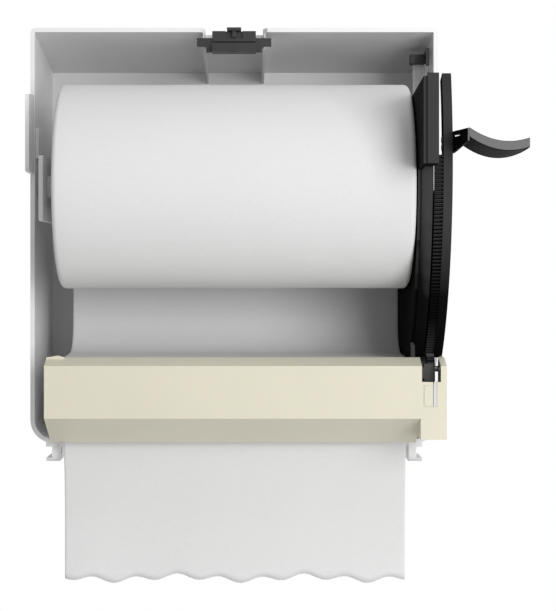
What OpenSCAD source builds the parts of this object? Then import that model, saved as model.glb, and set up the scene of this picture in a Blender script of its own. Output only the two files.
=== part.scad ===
// Lever paper towel dispenser with its front cover taken off, in millimetres.
// X runs to the right, Y runs into the wall (the room is on the -Y side) and Z is up.
// The origin is the centre of the housing's back face, where it meets the wall.

/* [Housing] */
// Width across the side walls, for paper of the standard width
housing_w = 244; // [242:0.5:250]
// Height of the rim, without the hinge lugs
housing_h = 248.6; // [246:0.5:256]
// Depth from the wall to the rim
housing_d = 94.5; // [92:0.5:97]
// Thickness of every housing wall
wall = 2.6; // [2:0.1:3]
// How much lower the top wall is at the back than at the rim
top_drop = 14.3; // [10:0.5:16]
// Corner radius at the bottom of the rim
bottom_corner_r = 14; // [8:1:18]
// Corner radius at the top of the rim
top_corner_r = 3; // [1:0.5:5]
// Side length of the wall screw pattern, left to right
wall_hole_span_x = 160; // [140:5:180]
// Side length of the wall screw pattern, up and down
wall_hole_span_z = 120; // [80:5:120]
// Radius of a wall screw hole
wall_hole_r = 2.75; // [2:0.25:3.5]

/* [Cover hinge lugs] */
// Distance from the housing's centre to a lug's inner face, for paper of the standard width
lug_inner_x = 104.6; // [100:0.2:106]
// Thickness of a lug's web
lug_web_t = 4.4; // [3.5:0.1:5]
// How far a lug's lips stand out beyond its web
lug_lip = 3.6; // [2:0.2:5]
// Thickness of a lug's lips
lug_lip_t = 2.2; // [1.5:0.1:2.5]
// How far a lug reaches below the housing
lug_drop = 11.2; // [10:0.2:13]
// Length of a lug from front to back
lug_len = 24; // [20:1:30]
// Radius of the hinge bore for the front cover's pins
lug_bore_r = 2.5; // [2:0.1:2.8]

/* [Cover latch] */
// Half width of the latch body
latch_half_w = 13; // [11:0.5:14]
// Distance from the centre to each latch rib's middle plane
latch_rib_x = 18; // [17:0.25:20]
// Thickness of a latch rib
latch_rib_t = 1.4; // [1:0.1:2]
// Radius of the latch cross pin
latch_pin_r = 2.4; // [2:0.1:2.6]
// Length of the latch cross pin
latch_pin_len = 44.4; // [42:0.2:48]
// Depth of the notch that the latch stands in, from the rim backwards
latch_notch_d = 15; // [13:0.5:18]
// Width of the key tab's cross bar
key_tab_w = 8.5; // [7:0.5:10]

/* [Paper] */
// Width of the paper
paper_w = 203; // [200:0.5:204]
// Diameter of the part-used roll
roll_d = 120; // [80:1:122]
// Bore of the cardboard core
core_bore_d = 38; // [36:0.5:40]
// Wall of the cardboard core
core_t = 1.5; // [1:0.1:2]
// Height of the roll's axis
roll_z = 28.3; // [26:0.5:30]
// Distance of the roll's axis from the wall
roll_out = 110; // [109:0.5:112]
// Thickness that the loose web is drawn with
web_t = 0.4; // [0.3:0.05:0.5]
// Radius of the web's bend below the roll
web_bend_r = 20; // [14:1:22]
// Height of the hanging sheet's torn edge
sheet_end_z = -205; // [-230:1:-190]
// Distance of the hanging sheet from the wall
sheet_out = 95.5; // [95.2:0.1:97]

/* [Sector and lever] */
// Distance of the lever's pivot from the wall
pivot_out = 24; // [22:0.5:26]
// Height of the lever's pivot
pivot_z = 40.3; // [38:0.5:42]
// Gear module of sector and pinion
gear_module = 0.7; // [0.68:0.005:0.71]
// Teeth that a full circle of the sector would have
sector_teeth = 410; // [400:1:412]
// Teeth of the feed pinion
pinion_teeth = 24; // [22:1:26]
// Angle below level at which sector and pinion meet
mesh_angle = 51.27; // [50:0.1:52]
// Width of the smooth fixed band beside the teeth
fixed_band_w = 5.7; // [5:0.1:6]
// Width of the toothed strip
tooth_strip_w = 4.9; // [4.5:0.1:5.2]
// Width of the smooth moving band
moving_band_w = 5.1; // [4.8:0.1:5.4]
// Radial depth of the smooth moving band
moving_band_d = 10; // [8:0.5:12]
// Radius of the pivot axle
axle_r = 4; // [3:0.25:5]
// Thickness of the sector's fan plate
fan_t = 2.4; // [2:0.1:3]
// How far the lever swings down, in degrees
lever_travel = 40; // [30:1:40]
// Reach of the paddle's tip beyond the housing's side
paddle_reach = 38.6; // [34:0.2:42]
// Height of the paddle's front face
paddle_h = 5.4; // [4.5:0.1:7]
// Depth of the paddle at its inner end
paddle_depth = 28; // [20:1:28]

/* [Mechanism plate] */
// Thickness of the mechanism plate
plate_t = 2.5; // [2:0.1:3]
// Distance of the plate's straight front bar from the wall
bar_out = 198; // [192:1:204]
// Height of the straight front bar's top end
bar_top_z = 85.6; // [80:0.5:90]
// Height of the straight front bar's bottom end
bar_bottom_z = 37; // [34:0.5:40]
// Thickness of the plate's bands
band_t = 2.5; // [2:0.1:3]

/* [Feed] */
// Radius of the feed shaft
feed_shaft_r = 3; // [2.5:0.1:3.2]
// Radius of the feed shaft's thin right end
feed_end_r = 1.7; // [1.4:0.1:1.9]
// Radius of the rubber feed rollers
feed_roller_r = 6.5; // [6:0.1:6.6]
// Radius of the pinch shaft
pinch_shaft_r = 2; // [1.6:0.1:2.2]
// Radius of the pinch rollers
pinch_roller_r = 5; // [4.6:0.1:5.2]
// Length of one roller sleeve
sleeve_len = 44; // [36:1:50]
// Wall of a shaft bush
bush_t = 1.2; // [1:0.1:1.4]
// Radius of the one-way clutch drum
drum_r = 7; // [6:0.1:7.2]

/* [Chute] */
// Thickness of the chute cover
cover_t = 1.8; // [1.5:0.1:2]
// Height of the chute cover's upright front face
cover_front_h = 29; // [27:0.5:30]
// Height of the notch at the cover's right end
notch_h = 9.1; // [8:0.1:10]
// Thickness of the left side frame
side_frame_t = 2.5; // [2:0.1:3]
// Thickness of the tear bar
tear_bar_t = 0.8; // [0.6:0.1:1]
// Spacing of the tear bar's teeth
tear_tooth_pitch = 6.3; // [4:0.1:10]

/* [Hidden] */
$fn = 64;

// Clearances
run = 0.05;          // radial clearance of a shaft in its bore
side_gap = 0.3;      // gap beside a part that turns
web_gap = 0.3;       // gap between the paper and a roller
strip_gap = 1;       // gap between the fixed band and the toothed strip
roll_gap = 0.8;      // gap between the roll's end and the mechanism plate
cut = 1;             // how far a cutter reaches past a face
seat = 0.5;          // how far a part of one solid sinks into the next

// Housing, whose sides and lugs move out with the paper
standard_paper_w = 203;
growth = (paper_w - standard_paper_w) / 2;
half_w = housing_w / 2 + growth;
half_h = housing_h / 2;
inner_x = half_w - wall;
back_y = -wall;
boss_h = 6;
boss_r = 4;
screw_r = 1.5;
screw_head_r = 3;
screw_head_h = 1.8;
screw_len = 6;

// Mechanism stack, from the right side wall inwards
moving_x1 = half_w;
strip_x1 = moving_x1 - moving_band_w;
strip_x0 = strip_x1 - tooth_strip_w;
fixed_x1 = strip_x0 - strip_gap;
plate_x1 = fixed_x1 - fixed_band_w;
plate_x0 = plate_x1 - plate_t;

// Roll
roll_x1 = plate_x0 - roll_gap;
roll_x0 = roll_x1 - paper_w;
roll_mid_x = (roll_x0 + roll_x1) / 2;
roll_r = roll_d / 2;
roll_y = -roll_out;
core_r = core_bore_d / 2 + core_t;
roll_edge_r = 3;
arm_gap = 8.5;
arm_t = 2.5;
arm_x1 = roll_x0 - arm_gap;
arm_x0 = arm_x1 - arm_t;
arm_z0 = roll_z - 20.7;
arm_z1 = roll_z + 17.2;
arm_corner_r = 2;
arm_front = 25;
arm_rib_w = 2;
arm_rib_len = 32;
arm_rib_inset = 3;
arm_neck = 2;
hub_depth = 5;
hub_taper = 2.5;
hub_flange_r = 23;
hub_flange_t = 2;
hub_hollow_r = 9;
hub_stem_r = 6.5;
hub_bore_r = 5;
hinge_pin_r = 2;
hinge_head_r = 2.5;
hinge_head_h = 1.2;
hinge_knuckle_r = 4;
hinge_knuckle_h = 8;
hinge_inset = 10.2;
hinge_x = arm_x0 - hinge_knuckle_r + 1;
hinge_y = -56;
hinge_z0 = arm_z0 + hinge_inset;
hinge_z1 = arm_z1 - hinge_inset;
hinge_gap = 0.4;
pad_len = 44;
pad_h = 19.5;
pad_fall = 1.8;
pad_t = 1.6;
ear_z0 = 37;
ear_z1 = 82.6;
ear_out = 118;
ear_t = 2.3;
ear_corner_r = 3;

// Gears
pivot_y = -pivot_out;
sector_r = sector_teeth * gear_module / 2;
pinion_r = pinion_teeth * gear_module / 2;
tip_h = 0.85 * gear_module;
root_h = 1.3 * gear_module;
tooth_angle = 20;
backlash = 0.3;
mesh_play = 0.05;
band_proud = 0.15;
band_r = sector_r + tip_h + band_proud;
mesh_dist = sector_r + pinion_r + mesh_play;
feed_y = pivot_y - mesh_dist * cos(mesh_angle);
feed_z = pivot_z - mesh_dist * sin(mesh_angle);
strip_d = 3.5;
teeth_from = -1.5;
teeth_to = mesh_angle + 1.4;
fan_from = 7.5;
moving_from = -20;
moving_to = mesh_angle - 0.2;
pivot_boss_r = 9;
bush_wall = 1.5;
slot_play = 1.2;

// Feed
nip = web_t + 2 * web_gap;
pinch_y = feed_y + feed_roller_r + nip + pinch_roller_r;
sleeve_pitch = (paper_w - sleeve_len) / 2 - 3;
frame_x1 = roll_x0 - 2.2;
frame_x0 = frame_x1 - side_frame_t;
bush_r = feed_shaft_r + bush_t;
bush_flange_r = bush_r + 1.3;
bush_flange_t = 1;
drum_x0 = plate_x1 + 0.9;
drum_x1 = strip_x0;
pinion_x0 = strip_x0 + side_gap;
pinion_x1 = strip_x1 - side_gap;

// Chute cover outline, measured from the feed axis
cover_x0 = frame_x0 - side_gap - cover_t;
cover_x1 = half_w - 0.4;
box_x0 = plate_x1 + 1.4;
cover_out = 24.5;
lip_back = [feed_y - 12, feed_z + 7.3];
lip_front = [feed_y - cover_out, feed_z + 3];
bend = [feed_y - cover_out, lip_front[1] - cover_front_h - 1];
cover_end = [feed_y + 8.5, bend[1] - 17];
box_bottom_z = feed_z - 39;
box_back_y = feed_y + 5.5;
notch_x0 = box_x0 + 0.7;
notch_x1 = cover_x1 - 3.4;

// Points and shapes used by more than one part

function polar(r, a) = [pivot_y - r * cos(a), pivot_z - r * sin(a)];
function arc(c, r, a0, a1, n) =
    [for (i = [0:n]) let (a = a0 + (a1 - a0) * i / n) [c[0] + r * cos(a), c[1] + r * sin(a)]];
function ring(r0, r1, a0, a1, n = 24) = concat(
    [for (i = [0:n]) polar(r1, a0 + (a1 - a0) * i / n)],
    [for (i = [n:-1:0]) polar(r0, a0 + (a1 - a0) * i / n)]);
function bezier(p, n) = [for (i = [0:n]) let (t = i / n, s = 1 - t)
    s * s * s * p[0] + 3 * s * s * t * p[1] + 3 * s * t * t * p[2] + t * t * t * p[3]];
function unit(v) = v / norm(v);
function normal(a, b) = let (d = unit(b - a)) [-d[1], d[0]];
function miter(path, i) = let (n = len(path) - 2, j = max(i - 1, 0), k = min(i, n),
    n1 = normal(path[j], path[j + 1]), n2 = normal(path[k], path[k + 1])) (n1 + n2) / (1 + n1 * n2);
function shifted(path, t) = [for (i = [0:len(path) - 1]) path[i] + t * miter(path, i)];
function reversed(path) = [for (i = [len(path) - 1:-1:0]) path[i]];
function strip(path, t) = concat(path, reversed(shifted(path, t)));
function ribbon(path, t) = concat(shifted(path, t / 2), reversed(shifted(path, -t / 2)));
function top_inner_z(y) = half_h - top_drop * (1 + y / housing_d) - wall;

// A profile drawn in Y and Z, from x0 to x1
module yz(x0, x1) {
    translate([x0, 0, 0]) rotate([90, 0, 90]) linear_extrude(x1 - x0) children();
}

// A profile drawn in X and Z, from y0 at the back to y1 at the front
module xz(y0, y1) {
    translate([0, y0, 0]) rotate([90, 0, 0]) linear_extrude(y0 - y1) children();
}

module rod_x(x0, x1, y, z, r) {
    translate([x0, y, z]) rotate([0, 90, 0]) cylinder(r = r, h = x1 - x0);
}

module rod_y(y0, y1, x, z, r) {
    translate([x, y0, z]) rotate([90, 0, 0]) cylinder(r = r, h = y0 - y1);
}

module box(low, high) {
    translate(low) cube(high - low);
}

// Ring sector about the lever's pivot
module pivot_ring(x0, x1, r0, r1, a0, a1) {
    intersection() {
        difference() {
            rod_x(x0, x1, pivot_y, pivot_z, r1);
            rod_x(x0 - cut, x1 + cut, pivot_y, pivot_z, r0);
        }
        wedge(x0 - cut, x1 + cut, r1 * 1.6, a0, a1);
    }
}

module wedge(x0, x1, r, a0, a1) {
    mid = (a0 + a1) / 2;
    yz(x0, x1) polygon([polar(0, 0), polar(r, a0), polar(r, mid), polar(r, a1)]);
}

// Half of a tooth's width at a height above the pitch line
function tooth_half(h) = PI * gear_module / 4 - backlash / 4 - h * tan(tooth_angle);

module pan_screw(x, z, y_seat) {
    difference() {
        union() {
            rod_y(y_seat + screw_len, y_seat, x, z, screw_r);
            rod_y(y_seat, y_seat - screw_head_h, x, z, screw_head_r);
        }
        for (turn = [0, 90]) translate([x, y_seat - screw_head_h, z]) rotate([0, turn, 0])
            cube([screw_head_r * 1.2, 1.6, 0.7], center = true);
    }
}

// Housing

module rim_outline(inset) {
    w = half_w - inset;
    h = half_h - inset;
    br = max(bottom_corner_r - inset, 1);
    tr = max(top_corner_r - inset, 0.5);
    polygon(concat(arc([-w + br, -h + br], br, 180, 270, 12), arc([w - br, -h + br], br, 270, 360, 12),
        arc([w - tr, h - tr], tr, 0, 90, 4), arc([-w + tr, h - tr], tr, 90, 180, 4)));
}

module tray_side(inset, y0, y1) {
    polygon([[y0, -half_h + inset], [y1, -half_h + inset],
        [y1, half_h - top_drop * (1 + y1 / housing_d) - inset],
        [y0, half_h - top_drop * (1 + y0 / housing_d) - inset]]);
}

module tray_shell() {
    difference() {
        intersection() {
            xz(0, -housing_d) rim_outline(0);
            yz(-half_w, half_w) tray_side(0, 0, -housing_d);
        }
        intersection() {
            xz(back_y, -housing_d - cut) rim_outline(wall);
            yz(-half_w, half_w) tray_side(wall, back_y, -housing_d - cut);
        }
    }
}

latch_y = -housing_d + 5;
latch_z = half_h - 8.4;
rib_foot_z = half_h - 23.7;
rib_front_z = half_h - 10.8;
rib_y = -housing_d + 2;

module latch_rib(x) {
    difference() {
        union() {
            yz(x - latch_rib_t / 2, x + latch_rib_t / 2) polygon([[back_y + seat, rib_foot_z],
                [rib_y, rib_front_z], [rib_y, top_inner_z(rib_y) + seat],
                [back_y + seat, top_inner_z(back_y) + seat]]);
            rod_x(x - latch_rib_t / 2, x + latch_rib_t / 2, latch_y, latch_z, latch_pin_r + 1.8);
        }
        rod_x(x - latch_rib_t, x + latch_rib_t, latch_y, latch_z, latch_pin_r + run);
    }
}

module hinge_lug() {
    x0 = lug_inner_x + growth;
    x1 = x0 + lug_web_t;
    front = -housing_d;
    top = -half_h + seat;
    low = -half_h - lug_drop;
    nose = 5;
    lug_yz = concat([[front, top]], arc([front + nose, low + nose], nose, 180, 270, 8),
        [[front + lug_len, low], [front + lug_len, top]]);
    difference() {
        union() {
            yz(x0, x1) polygon(lug_yz);
            intersection() {
                yz(x0, x1 + lug_lip) polygon(lug_yz);
                union() {
                    box([x0, front, -half_h - lug_lip_t], [x1 + lug_lip, front + lug_len, top]);
                    box([x0, front, low], [x1 + lug_lip, front + lug_len, low + lug_lip_t]);
                }
            }
        }
        rod_x(x0 - cut, x1 + lug_lip + cut, front + lug_len / 2, (low - half_h) / 2, lug_bore_r);
    }
}

module screw_boss(x, z) {
    rod_y(back_y + seat, back_y - boss_h, x, z, boss_r);
}

module screw_hole(x, z) {
    rod_y(back_y - boss_h + screw_len, back_y - boss_h - cut, x, z, screw_r + run);
}

plate_tab_w = 12;
plate_screw_x = plate_x1 + plate_tab_w / 2 + 1;
plate_screw_z = [66, -58];
frame_screw_x = frame_x0 - plate_tab_w / 2;
frame_screw_z = [feed_z - 18, feed_z - 32];
tab_t = 2.2;
tab_y = back_y - boss_h;

// Knuckle on the left side wall that carries one end of the roll arm's hinge pin
module arm_knuckle(z0, z1) {
    difference() {
        union() {
            translate([hinge_x, hinge_y, z0]) cylinder(r = hinge_knuckle_r, h = z1 - z0);
            box([-inner_x - seat, hinge_y - hinge_knuckle_r, z0], [hinge_x, hinge_y + hinge_knuckle_r, z1]);
        }
        translate([hinge_x, hinge_y, z0 - cut]) cylinder(r = hinge_pin_r + run, h = z1 - z0 + 2 * cut);
    }
}

module housing() {
    color([0.86, 0.86, 0.87]) difference() {
        union() {
            tray_shell();
            for (s = [-1, 1]) latch_rib(s * latch_rib_x);
            hinge_lug();
            mirror([1, 0, 0]) hinge_lug();
            for (z = plate_screw_z) screw_boss(plate_screw_x, z);
            for (z = frame_screw_z) screw_boss(frame_screw_x, z);
            arm_knuckle(hinge_z0 - hinge_knuckle_h, hinge_z0 - hinge_gap);
            arm_knuckle(hinge_z1 + hinge_gap, hinge_z1 + hinge_knuckle_h);
            arm_pad();
            ear();
            rod_x(axle_boss_x, inner_x + seat, pivot_y, pivot_z, axle_r + 3);
        }
        pad_groove();
        latch_notch();
        lever_slot();
        for (x = [-1, 1], z = [-1, 1])
            rod_y(cut, back_y - cut, x * wall_hole_span_x / 2, z * wall_hole_span_z / 2, wall_hole_r);
        for (z = plate_screw_z) screw_hole(plate_screw_x, z);
        for (z = frame_screw_z) screw_hole(frame_screw_x, z);
        rod_x(axle_boss_x - cut, axle_x1 + run, pivot_y, pivot_z, axle_r + run);
    }
}

// Thickened pad on the left wall above the roll arm, and the groove along its top edge
pad_y0 = hinge_y + 12;
pad_y1 = pad_y0 - pad_len;
pad_z1 = arm_z1 + pad_h;

module arm_pad() {
    yz(-inner_x - seat, -inner_x + pad_t) polygon([[pad_y1, arm_z1 + 1], [pad_y0, arm_z1 + 3],
        [pad_y0, pad_z1 - pad_fall], [pad_y1, pad_z1]]);
}

module pad_groove() {
    high = 1.2;
    yz(-inner_x - wall / 2, -inner_x + cut) polygon([[pad_y1, pad_z1], [pad_y0, pad_z1 - pad_fall],
        [pad_y0, pad_z1 - pad_fall + high], [pad_y1, pad_z1 + high]]);
}

// Guide ear that stands out of the left wall's rim
module ear() {
    r = ear_corner_r;
    root_y = -housing_d + 3;
    yz(-half_w, -half_w + ear_t) polygon(concat([[root_y, ear_z0 - 0.5]],
        arc([-ear_out + r, ear_z0 + r], r, 270, 180, 4), arc([-ear_out + r, ear_z1 - r], r, 180, 90, 4),
        [[root_y, ear_z1 + 2]]));
}

// Notch in the top wall for the latch, with slanted ends
module latch_notch() {
    half = latch_rib_x + latch_rib_t / 2;
    y1 = -housing_d - cut;
    translate([0, 0, half_h - 14]) linear_extrude(20) polygon([[-half - 2, y1], [half + 2, y1],
        [half - latch_rib_t, -housing_d + 3], [half - latch_rib_t, -housing_d + latch_notch_d],
        [-half + latch_rib_t, -housing_d + latch_notch_d], [-half + latch_rib_t, -housing_d + 3]]);
}

axle_boss_x = inner_x - 1.2;
axle_x1 = inner_x + wall - 1;

// Curved slot in the right wall that the moving band swings into
module lever_slot() {
    pivot_ring(inner_x - cut, half_w + cut, band_r - moving_band_d - slot_play, band_r + slot_play,
        mesh_angle - 6, moving_to + lever_travel + 2);
}

// Cover latch. Its heights are measured from the pin's axis.

latch_front_y = latch_y - 10.5;
latch_back_y = latch_y + 4;
latch_top_z = latch_z + 5.7;
latch_step_z = latch_z - 2;
latch_low_z = latch_z - 7;
bar_front_y = latch_front_y - 4;
bar_back_y = latch_back_y - 6;
wing_y = latch_front_y + 2;
wing_t = 3.6;
wing_z0 = latch_z - 3;
wing_z1 = latch_z + 1.8;
key_pocket_d = 2.2;
key_pocket_z = latch_z + 1.6;
key_pocket_half = 5;
key_tab_h = 2;
key_tab_front = 4;
key_tab_back = 3;
latch_groove_d = 1.6;
latch_groove_h = 1.4;

module latch_body() {
    shoulder = latch_rib_x - latch_rib_t;
    wing = latch_pin_len / 2;
    color([0.16, 0.16, 0.17]) difference() {
        union() {
            box([-latch_half_w, latch_front_y, latch_step_z - seat],
                [latch_half_w, latch_back_y, latch_top_z]);
            box([-latch_half_w, bar_front_y, latch_low_z], [latch_half_w, bar_back_y, latch_step_z]);
            box([-shoulder, wing_y, latch_low_z + 0.5], [shoulder, wing_y + wing_t, wing_z0 + seat]);
            box([-wing, wing_y, wing_z0], [wing, wing_y + wing_t, wing_z1]);
        }
        rod_x(-latch_rib_x - cut, latch_rib_x + cut, latch_y, latch_z, latch_pin_r + run);
        box([-latch_half_w - cut, latch_front_y - cut, latch_step_z],
            [latch_half_w + cut, latch_front_y + latch_groove_d, latch_step_z + latch_groove_h]);
        box([-key_pocket_half, latch_front_y - cut, key_pocket_z],
            [key_pocket_half, latch_front_y + key_pocket_d, latch_top_z + cut]);
    }
}

module latch_pin() {
    half = latch_pin_len / 2;
    color([0.2, 0.2, 0.21]) difference() {
        rod_x(-half, half, latch_y, latch_z, latch_pin_r);
        for (s = [-1, 1])
            translate([s * half, latch_y, latch_z]) cube([2, latch_pin_r * 3, 0.8], center = true);
    }
}

module latch_key_tab() {
    y = latch_front_y + key_pocket_d;
    stem = 1.2;
    color([0.2, 0.2, 0.21]) {
        box([-key_tab_w / 2, y - key_tab_front, latch_top_z],
            [key_tab_w / 2, y + key_tab_back, latch_top_z + key_tab_h]);
        box([-stem, y - 3.2, key_pocket_z], [stem, y, latch_top_z]);
    }
}

// A wire bent along a path, as one tube of six-sided rings. No stretch of it may run along Z.
module wire(path, r) {
    sides = 6;
    n = len(path);
    rings = [for (i = [0:n - 1]) let (along = unit(path[min(i + 1, n - 1)] - path[max(i - 1, 0)]),
        out = unit(cross(along, [0, 0, 1])), up = cross(out, along))
        for (k = [0:sides - 1]) path[i] + r * (cos(360 * k / sides) * out + sin(360 * k / sides) * up)];
    skin = [for (i = [0:n - 2], k = [0:sides - 1]) let (a = i * sides, b = a + sides, m = (k + 1) % sides)
        each [[a + k, b + m, b + k], [a + k, a + m, b + m]]];
    last = (n - 1) * sides;
    caps = [for (k = [1:sides - 2]) each [[0, k + 1, k], [last, last + k, last + k + 1]]];
    polyhedron(rings, concat(skin, caps));
}

// Torsion spring coil about Z, with a straight leg at its foot
coil_steps = 8;
coil_play = 0.25;
function coil(r, pitch, turns, leg) = concat([[r, -leg, 0], [r, -leg / 2, 0]],
    [for (i = [0:coil_steps * turns]) let (a = 360 * i / coil_steps)
        [r * cos(a), r * sin(a), pitch * a / 360]]);

// Radius of a coil whose straight steps clear what it goes round
function coil_r(inner, wire_r) = (inner + coil_play + wire_r) / cos(180 / coil_steps);

module latch_spring() {
    wire_r = 0.3;
    turns = 4;
    room = latch_rib_x - latch_rib_t / 2 - latch_half_w - 2 * wire_r - 0.4;
    color([0.6, 0.6, 0.62]) translate([latch_half_w + wire_r + 0.2, latch_y, latch_z])
        rotate([90, 0, 90]) wire(coil(coil_r(latch_pin_r, wire_r), room / turns, turns, 0.6), wire_r);
}

// Left roll arm with its hinge and hub

// The plate narrows before the hinge, so that it swings past the housing's knuckles
module left_roll_arm() {
    r = arm_corner_r;
    front = roll_y - arm_front;
    neck_y = hinge_y - hinge_knuckle_r - 1;
    color([0.88, 0.88, 0.89]) difference() {
        union() {
            yz(arm_x0, arm_x1) polygon(concat(arc([front + r, arm_z0 + r], r, 180, 270, 4),
                [[neck_y - arm_neck, arm_z0], [neck_y, hinge_z0], [hinge_y, hinge_z0],
                [hinge_y, hinge_z1], [neck_y, hinge_z1], [neck_y - arm_neck, arm_z1]],
                arc([front + r, arm_z1 - r], r, 90, 180, 4)));
            translate([hinge_x, hinge_y, hinge_z0]) cylinder(r = hinge_knuckle_r, h = hinge_z1 - hinge_z0);
            for (z = [hinge_z0 + arm_rib_inset, hinge_z1 - arm_rib_inset - arm_rib_w])
                box([arm_x0 - arm_rib_w, hinge_y - arm_rib_len, z], [arm_x0 + seat, hinge_y, z + arm_rib_w]);
        }
        translate([hinge_x, hinge_y, hinge_z0 - cut])
            cylinder(r = hinge_pin_r + run, h = hinge_z1 - hinge_z0 + 2 * cut);
        rod_x(arm_x0 - cut, arm_x1 + cut, roll_y, roll_z, hub_bore_r);
    }
}

module left_arm_pin() {
    len = hinge_z1 - hinge_z0 + 2 * hinge_knuckle_h;
    color([0.7, 0.7, 0.72]) translate([hinge_x, hinge_y, hinge_z0 - hinge_knuckle_h]) {
        cylinder(r = hinge_pin_r, h = len);
        translate([0, 0, len]) cylinder(r = hinge_head_r, h = hinge_head_h);
    }
}

// Tapered plug that enters the core, drawn from x to the right
module plug(core_play) {
    r = core_bore_d / 2 - core_play;
    translate([0, roll_y, roll_z]) rotate([0, 90, 0]) cylinder(r1 = r, r2 = r - hub_taper, h = hub_depth);
}

module left_hub() {
    x = roll_x0 - 0.8;
    color([0.82, 0.82, 0.83]) difference() {
        union() {
            translate([x, 0, 0]) plug(0.4);
            rod_x(arm_x1, x, roll_y, roll_z, hub_stem_r);
            rod_x(x - hub_flange_t, x, roll_y, roll_z, hub_flange_r);
            rod_x(arm_x0 - 0.6, arm_x1, roll_y, roll_z, hub_bore_r - run);
        }
        rod_x(x - 0.8, x + hub_depth + cut, roll_y, roll_z, hub_hollow_r);
    }
}

module right_hub() {
    x = roll_x1 + side_gap;
    color([0.2, 0.2, 0.21]) difference() {
        union() {
            translate([x, 0, 0]) mirror([1, 0, 0]) plug(0.4);
            rod_x(x, plate_x0, roll_y, roll_z, hub_flange_r);
            rod_x(plate_x0, plate_x1 - 0.2, roll_y, roll_z, hub_bore_r - run);
        }
        rod_x(x - hub_depth - cut, x - 1, roll_y, roll_z, hub_hollow_r);
    }
}

// Paper

module paper_roll() {
    e = roll_edge_r;
    w = paper_w / 2;
    color([0.93, 0.93, 0.93]) translate([roll_mid_x, roll_y, roll_z]) rotate([0, 90, 0])
        rotate_extrude() polygon(concat([[core_r + run, -w]],
            arc([roll_r - e, -w + e], e, -90, 0, 6), arc([roll_r - e, w - e], e, 0, 90, 6),
            [[core_r + run, w]]));
}

module roll_core() {
    color([0.66, 0.55, 0.42]) difference() {
        rod_x(roll_x0, roll_x1, roll_y, roll_z, core_r);
        rod_x(roll_x0 - cut, roll_x1 + cut, roll_y, roll_z, core_bore_d / 2);
    }
}

// Route of the loose web in Y and Z: down behind the roll, forward over the pinch rollers,
// down through the nip, then back to hang free
web_y = roll_y + roll_r + web_gap + web_t / 2;
web_bend = [web_y - web_bend_r, feed_z + 26.5];
pinch_wrap_r = pinch_roller_r + web_gap + web_t / 2;
web_run = [pinch_y - web_bend[0], feed_z - web_bend[1]];
web_tilt = acos((web_bend_r + pinch_wrap_r) / norm(web_run)) - atan2(-web_run[0], -web_run[1]);
nip_y = pinch_y - pinch_wrap_r;
hang_y = -sheet_out;
hang_z = feed_z - 97;
hang_ease = 47;
web_route = concat([[web_y, roll_z]],
    arc(web_bend, web_bend_r, 0, web_tilt - 90, 10),
    arc([pinch_y, feed_z], pinch_wrap_r, 90 + web_tilt, 180, 8),
    bezier([[nip_y, feed_z - 6], [nip_y, feed_z - 30], [hang_y, hang_z + hang_ease], [hang_y, hang_z]], 10),
    [[hang_y, sheet_end_z - 8]]);

// Torn edge: scallops as deep as the tear bar leaves them
function torn_z(x) = sheet_end_z - 1.6 * cos(360 * (x - roll_x0 - 4) / 25.2)
    - 1.2 * cos(360 * (x - roll_x0 - 30) / 76);

module paper_web() {
    steps = 96;
    color([0.94, 0.94, 0.94]) difference() {
        yz(roll_x0, roll_x1) polygon(ribbon(web_route, web_t));
        xz(hang_y + 4, hang_y - 4) polygon(concat(
            [for (i = [0:steps]) let (x = roll_x0 - cut + (paper_w + 2 * cut) * i / steps) [x, torn_z(x)]],
            [[roll_x1 + cut, sheet_end_z - 20], [roll_x0 - cut, sheet_end_z - 20]]));
    }
}

// Mechanism plate

bearing_r = 6.3;
plate_front_y = -bar_out + band_t / 2;
plate_nose_y = feed_y - 15;
plate_knee = [roll_y - 8, bar_top_z - 7.1];
plate_back_z = bar_top_z - 11.6;
plate_foot_y = back_y - 30.4;

// The plate's front edge lies half a band's thickness behind the bands' faces
module plate_outline() {
    polygon(concat([[back_y, plate_back_z], plate_knee, [plate_front_y, bar_top_z - 1.6],
        [plate_front_y, bar_bottom_z]],
        [for (a = [2:4:mesh_angle - 2]) polar(band_r - band_t / 2, a)],
        [[feed_y - 6, feed_z + bearing_r], [plate_nose_y, feed_z + 4], [plate_nose_y, feed_z - 7],
        [cover_end[0] - 7, cover_end[1] + 8], [cover_end[0], cover_end[1] + 6],
        [cover_end[0] + 14, cover_end[1] + 6], [guide_front_y + 2, feed_z - 26],
        [plate_foot_y, feed_z - 8], [back_y, feed_z - 4]]));
}

module plate_tab(z) {
    box([plate_x0, tab_y - tab_t, z - 6], [plate_screw_x + 5, tab_y, z + 6]);
}

module mechanism_plate() {
    color([0.12, 0.12, 0.13]) difference() {
        union() {
            yz(plate_x0, plate_x1) plate_outline();
            box([plate_x1 - seat, -bar_out, bar_bottom_z], [fixed_x1, -bar_out + band_t, bar_top_z]);
            box([plate_x1 - seat, -bar_out, bar_bottom_z],
                [fixed_x1, pivot_y - band_r + 6, bar_bottom_z + band_t]);
            pivot_ring(plate_x1 - seat, fixed_x1, band_r - band_t, band_r, 0, mesh_angle - 0.2);
            for (z = plate_screw_z) plate_tab(z);
        }
        rod_x(plate_x0 - cut, plate_x1 + cut, feed_y, feed_z, bush_r + run);
        pinch_slot(plate_x0, plate_x1);
        rod_x(plate_x0 - cut, plate_x1 + cut, pivot_y, pivot_z, axle_r + run);
        rod_x(plate_x0 - cut, plate_x1 + cut, roll_y, roll_z, hub_bore_r);
        for (z = plate_screw_z) rod_y(tab_y + cut, tab_y - tab_t - cut, plate_screw_x, z, screw_r + 0.4);
    }
}

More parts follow.
